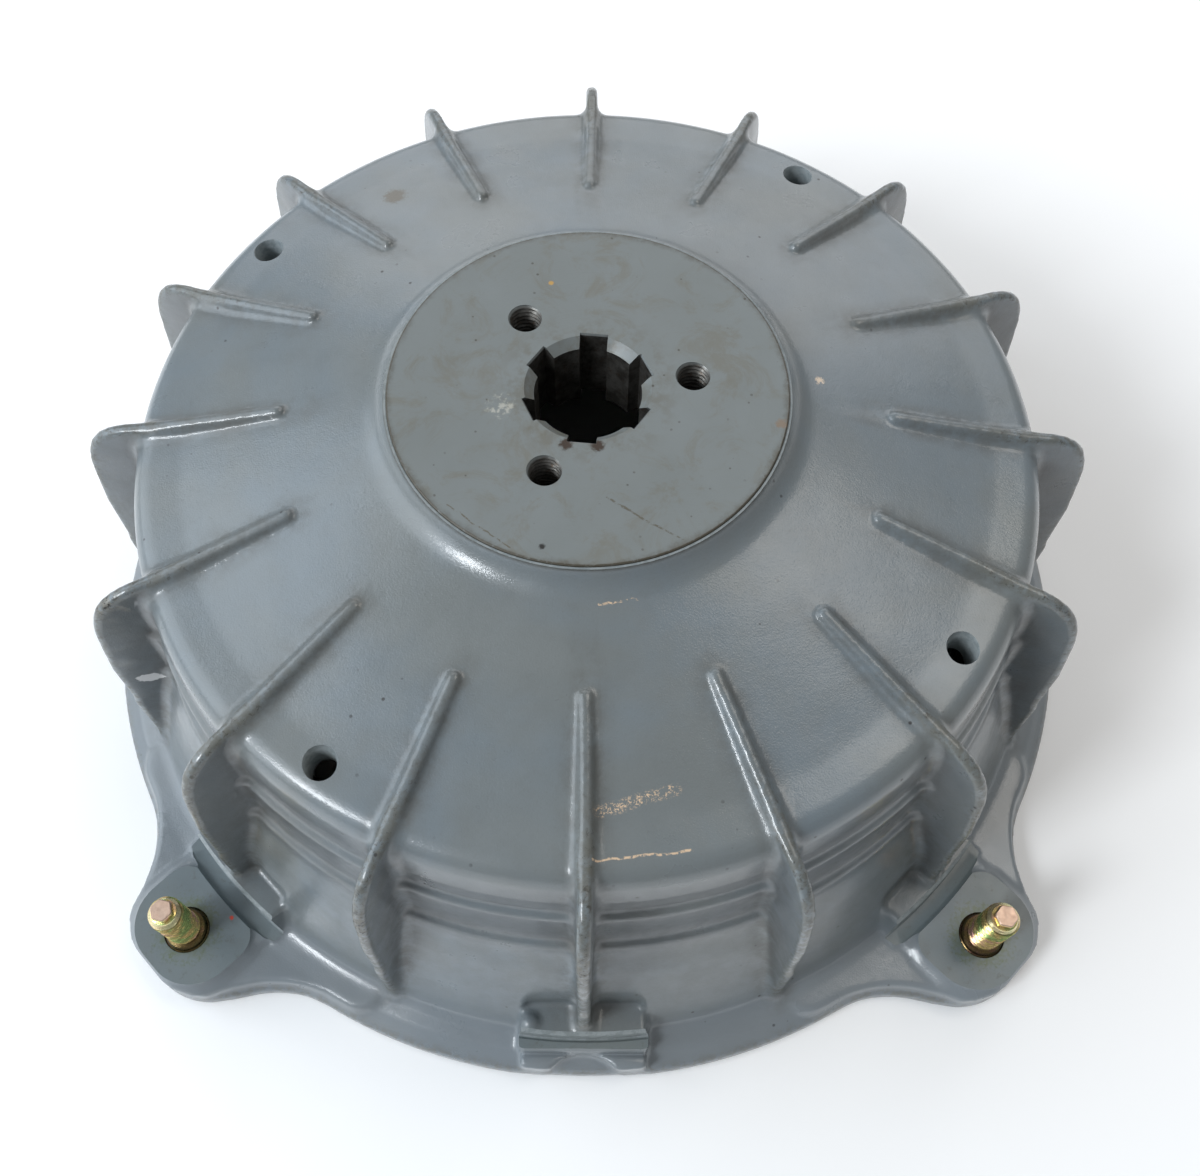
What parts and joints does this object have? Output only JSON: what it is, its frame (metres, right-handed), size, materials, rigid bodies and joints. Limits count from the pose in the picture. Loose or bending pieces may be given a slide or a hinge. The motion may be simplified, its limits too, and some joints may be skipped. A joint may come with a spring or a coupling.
{
  "type": "finned bell-shaped flywheel",
  "caption": "Bell-shaped finned flywheel with a splined steel hub, an iron inner ring, stud lugs and turned pilot shoulders.",
  "frame": {"origin": "on the axis, in the plane of the open base", "axes": "+Z along the axis from the open base to the hub face, -Y towards the front bracket, studs parallel to +Z"},
  "size_m": [0.253, 0.253, 0.098],
  "materials": {
    "painted_casting": "worn semi-gloss grey paint on an alloy casting",
    "hub_steel": "machined steel under thin grey paint, bare in the bore",
    "ring_iron": "turned running surface with light rust",
    "stud_zinc": "yellow passivated zinc plating on steel"
  },
  "bodies": {
    "root": {"drum_casting": "painted_casting", "splined_hub": "hub_steel", "friction_ring": "ring_iron", "stud_front_left": "stud_zinc", "stud_front_right": "stud_zinc", "stud_rear_left": "stud_zinc", "stud_rear_right": "stud_zinc"}
  },
  "joints": []
}
